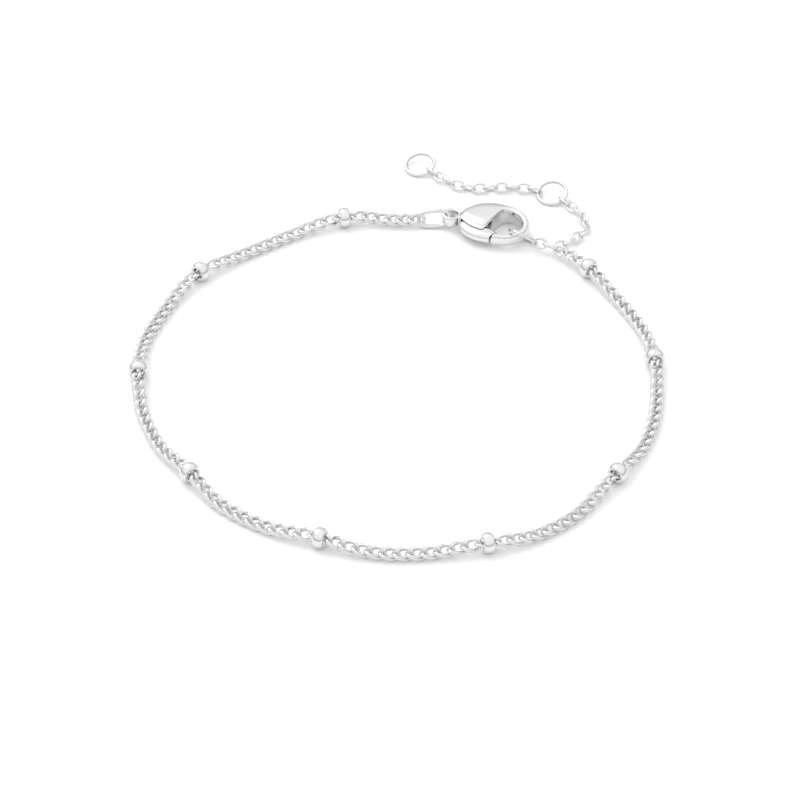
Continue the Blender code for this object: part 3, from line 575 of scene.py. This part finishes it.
clasp = {
    "middle": (5.857, 20.150, 1.15), "turn": -11.4,
    "reach": 8.6, "width": 5.8, "thickness": 2.3,
    "pivot": (0.273, -0.172), "slotHeight": 1.34, "leverGap": 0.06, "gateGap": 0.10, "sharp": 38,
    "eyelet": {"radius": 1.06, "hole": 0.64, "height": 1.22, "roundness": 2.8, "steps": 64, "columns": 24},
    "rivet": {"radius": 0.28, "length": 1.60, "roundness": 5.0, "steps": 32},  # its polished ends don't show
    "slot": (
        (0.160, 0.012), (0.370, 0.012), (0.500, -0.050), (0.595, -0.050), (0.595, -0.400),
        (0.545, -0.560), (0.545, -0.700), (0.040, -0.700), (0.070, -0.130), (0.135, -0.100),
    ),
}
claspBody = {  # outer along, outer across, inner along, inner across, height
    "sections": (
        (0.094, 0.110, 0.094, -0.110, 0.44), (0.175, 0.262, 0.145, -0.190, 0.74),
        (0.295, 0.410, 0.250, -0.320, 0.93), (0.430, 0.485, 0.355, -0.390, 1.00),
        (0.560, 0.498, 0.435, -0.400, 1.00), (0.655, 0.465, 0.500, -0.165, 0.96),
        (0.735, 0.410, 0.565, 0.100, 0.90), (0.790, 0.360, 0.640, 0.205, 0.86),
        (0.850, 0.298, 0.738, 0.205, 0.84), (0.925, 0.195, 0.826, 0.124, 0.81),
        (0.983, 0.055, 0.890, 0.000, 0.78), (1.000, -0.109, 0.907, -0.118, 0.74),
        (0.971, -0.273, 0.884, -0.227, 0.66), (0.890, -0.409, 0.826, -0.313, 0.60),
        (0.767, -0.509, 0.733, -0.382, 0.58), (0.566, -0.545, 0.613, -0.409, 0.58),
    ),
    "stepsPerSection": 8, "columns": 144, "roundness": 2.6, "endBevel": 0.02, "endShare": 0.88,
    "lip": {
        "depth": 0.09, "width": 0.13,
        "grooves": ((0.58, 1.0), (1.05, 0.55)),  # distance from the edge, share of the depth
        "firstSection": 0.8, "lastSection": 4.6, "fadeLength": 0.15, "flatFrom": 0.35,
    },
}
claspLever = {
    "sections": (
        (0.122, -0.227, 0.169, -0.136, 0.75), (0.157, -0.336, 0.221, -0.045, 0.97),
        (0.233, -0.436, 0.314, -0.036, 1.00), (0.337, -0.513, 0.395, -0.150, 1.00),
        (0.442, -0.545, 0.477, -0.210, 1.00), (0.523, -0.551, 0.545, -0.265, 0.98),
    ),
    "end": (-0.545, -0.330, 0.94),
    "stepsPerSection": 10, "columns": 64, "roundness": 2.6, "endBevel": 0.015, "endShare": 0.88,
}


def placedInClasp(points, pivot=(0.0, 0.0)):  # from the clasp's own millimetres to the frame's
    turn = math.radians(clasp["turn"])
    c, s = math.cos(turn), math.sin(turn)
    x, y = points[:, 0] + pivot[0], points[:, 1] + pivot[1]
    return np.column_stack([x * c - y * s, x * s + y * c, points[:, 2]]) + np.array(clasp["middle"])


# A plate of the slot's outline, as two flat rows of the outline's points, each closed by one face.
def slotPlate():
    outline = np.array(clasp["slot"]) * (clasp["reach"], clasp["width"])
    count = len(outline)
    rows = [np.column_stack([outline, np.full(count, side * 0.5 * clasp["slotHeight"])]) for side in (-1, 1)]
    faces = [[j, (j + 1) % count, count + (j + 1) % count, count + j] for j in range(count)]
    faces += [list(range(count))[::-1], [count + j for j in range(count)]]
    return placedInClasp(np.vstack(rows)), faces


# A round pin: a rounded rectangle's outline turned about its own upright axis.
def uprightPin(radius, length, place, steps, roundness=40.0, columns=24, smallest=0.02):
    u, v = roundedShape(np.linspace(-0.5 * math.pi, 0.5 * math.pi, columns), roundness)
    angle = aroundCircle(steps)[None, :, None]
    spoke = np.concatenate([np.cos(angle), np.sin(angle), 0 * angle], axis=-1)
    lift = np.array([0, 0, 0.5 * length]) * v[:, None, None]
    points, faces = closeEnds(np.maximum(u, smallest)[:, None, None] * radius * spoke + lift)
    return placedInClasp(points, place), faces


pivotPlace = np.array(clasp["pivot"]) * (clasp["reach"], clasp["width"])
points, faces = lofted(claspBody, claspBody["sections"], clasp["thickness"], claspBody["lip"])
bodyMesh = meshOf("claspBody", placedInClasp(points), faces)
eyelet = clasp["eyelet"]
u, v = roundedShape(aroundCircle(eyelet["columns"], 0.5), eyelet["roundness"])
radii = 0.5 * (eyelet["radius"] + eyelet["hole"]) + 0.5 * (eyelet["radius"] - eyelet["hole"]) * u
middle = np.array(clasp["middle"])
eyeletRing = turnedRing(radii, 0.5 * eyelet["height"] * v, middle, (0, 0, 1), eyelet["steps"])
eyeletMesh = meshOf("eyelet", *eyeletRing)
bodyMesh = booleaned(bodyMesh, (("DIFFERENCE", meshOf("slot", *slotPlate())), ("UNION", eyeletMesh)))
addPiece("claspBody", bodyMesh, claspSilver, ["clasp_body"], sharp=clasp["sharp"])


def leverEndAlong(across):  # the lever ends on an arc about its pivot, a gate's gap before the hook's tip
    tipAlong, tipAcross = claspBody["sections"][-1][2:4]
    pivotAlong, pivotAcross = clasp["pivot"]
    reach, width = clasp["reach"], clasp["width"]
    swing = math.hypot((tipAlong - pivotAlong) * reach, (tipAcross - pivotAcross) * width) - clasp["gateGap"]
    return pivotAlong + math.sqrt(swing ** 2 - ((across - pivotAcross) * width) ** 2) / reach


outer, inner, height = claspLever["end"]
leverSections = (*claspLever["sections"], (leverEndAlong(outer), outer, leverEndAlong(inner), inner, height))
points, faces = lofted(claspLever, leverSections, clasp["slotHeight"] - 2 * clasp["leverGap"])
rivet = clasp["rivet"]
leverPin = uprightPin(rivet["radius"] + clasp["leverGap"], 2 * clasp["thickness"], pivotPlace, rivet["steps"])
leverHole = meshOf("leverHole", *leverPin)
leverMesh = booleaned(meshOf("claspLever", placedInClasp(points), faces), (("DIFFERENCE", leverHole),))
addPiece(
    "claspLever", leverMesh, claspSilver, ["clasp_lever"],
    body="clasp_lever", sharp=clasp["sharp"],
)

rivetPin = uprightPin(rivet["radius"], rivet["length"], pivotPlace, rivet["steps"], rivet["roundness"])
addPiece("claspRivet", meshOf("claspRivet", *rivetPin), claspSilver, ["clasp_rivet"], sharp=50)


studio = {
    "floorSize": 3.0, "floorGrey": 0.92, "floorRoughness": 0.42, "floorSpecular": 0.16,
    # painted reflection: the table's colour for every ray but the camera's, so the metal mirrors a greyer
    # table
    "floorReflected": 0.74,  # how grey the metal sees the table
    "sky": ((0.0, 0.50), (0.18, 0.56), (0.46, 0.88), (1.0, 1.0)),   # height of the direction, brightness
    "skyStrength": 1.32, "skyReflected": 0.98,  # on the table, and as the metal mirrors it
    "keyPlace": (-0.25, 0.28, 0.45), "keySize": 0.38, "keyPower": 1.0,
    "cameraTarget": (0.0003, -0.00825, 0.0), "cameraDistance": 0.357, "cameraHeight": 41.5,
    "lens": 157.5, "sensorWidth": 36.0, "clip": (0.01, 5.0),
}
half = 0.5 * studio["floorSize"]
floorMesh = bpy.data.meshes.new("floor")
corners = [(-half, -half, 0), (half, -half, 0), (half, half, 0), (-half, half, 0)]
floorMesh.from_pydata(corners, [], [(0, 1, 2, 3)])
floor = bpy.data.objects.new("floor", floorMesh)
bpy.context.scene.collection.objects.link(floor)
floorLook = bpy.data.materials.new("whiteTable")
floorLook.use_nodes = True
floorShader = floorLook.node_tree.nodes["Principled BSDF"]
floorTree = floorLook.node_tree
# painted reflection: the table is greyer in what the metal mirrors and bounces than where the camera sees it
rayKind = nodeIn(floorTree, "ShaderNodeLightPath")
floorGrey = nodeIn(floorTree, "ShaderNodeMapRange")
floorGrey.inputs["To Min"].default_value = studio["floorReflected"]
floorGrey.inputs["To Max"].default_value = studio["floorGrey"]
floorTree.links.new(rayKind.outputs["Is Camera Ray"], floorGrey.inputs["Value"])
floorTree.links.new(floorGrey.outputs["Result"], floorShader.inputs["Base Color"])
floorShader.inputs["Roughness"].default_value = studio["floorRoughness"]
floorShader.inputs["Specular IOR Level"].default_value = studio["floorSpecular"]
floorMesh.materials.append(floorLook)

world = bpy.data.worlds.new("studioSky")
bpy.context.scene.world = world
world.use_nodes = True
tree = world.node_tree
sky = tree.nodes["Background"]
direction = nodeIn(tree, "ShaderNodeTexCoord")
split = nodeIn(tree, "ShaderNodeSeparateXYZ")
ramp = nodeIn(tree, "ShaderNodeValToRGB")
while len(ramp.color_ramp.elements) < len(studio["sky"]):
    ramp.color_ramp.elements.new(0.5)
for element, (position, grey) in zip(ramp.color_ramp.elements, studio["sky"]):
    element.position = position
    element.color = (grey, grey, grey, 1.0)
tree.links.new(direction.outputs["Generated"], split.inputs["Vector"])
tree.links.new(split.outputs["Z"], ramp.inputs["Fac"])
tree.links.new(ramp.outputs["Color"], sky.inputs["Color"])
skyRay = nodeIn(tree, "ShaderNodeLightPath")
skyLevel = nodeIn(tree, "ShaderNodeMapRange")
skyLevel.inputs["To Min"].default_value = studio["skyStrength"]
skyLevel.inputs["To Max"].default_value = studio["skyReflected"]
tree.links.new(skyRay.outputs["Is Glossy Ray"], skyLevel.inputs["Value"])
tree.links.new(skyLevel.outputs["Result"], sky.inputs["Strength"])


def aimed(obj, place, target):  # stands at place and looks at target
    stand, aim = np.array(place), np.array(target)
    back = unit(stand - aim)
    right = unit(np.cross((0, 0, 1), back))
    rows = np.eye(4)
    rows[:3, 0], rows[:3, 1], rows[:3, 2], rows[:3, 3] = right, np.cross(back, right), back, stand
    obj.matrix_world = Matrix(rows.tolist())
    bpy.context.scene.collection.objects.link(obj)


keyLight = bpy.data.lights.new("keyLight", "AREA")
keyLight.energy = studio["keyPower"]
keyLight.size = studio["keySize"]
aimed(bpy.data.objects.new("keyLight", keyLight), studio["keyPlace"], (0, 0, 0))

camera = bpy.data.cameras.new("camera")
camera.lens = studio["lens"]
camera.sensor_width = studio["sensorWidth"]
camera.clip_start, camera.clip_end = studio["clip"]
cameraObject = bpy.data.objects.new("camera", camera)
height = math.radians(studio["cameraHeight"])
target = np.array(studio["cameraTarget"])
towardsCamera = np.array([0, -math.cos(height), math.sin(height)])
aimed(cameraObject, target + studio["cameraDistance"] * towardsCamera, target)
bpy.context.scene.camera = cameraObject
bpy.context.scene.view_settings.view_transform = "Standard"
print("stage, light and camera set")
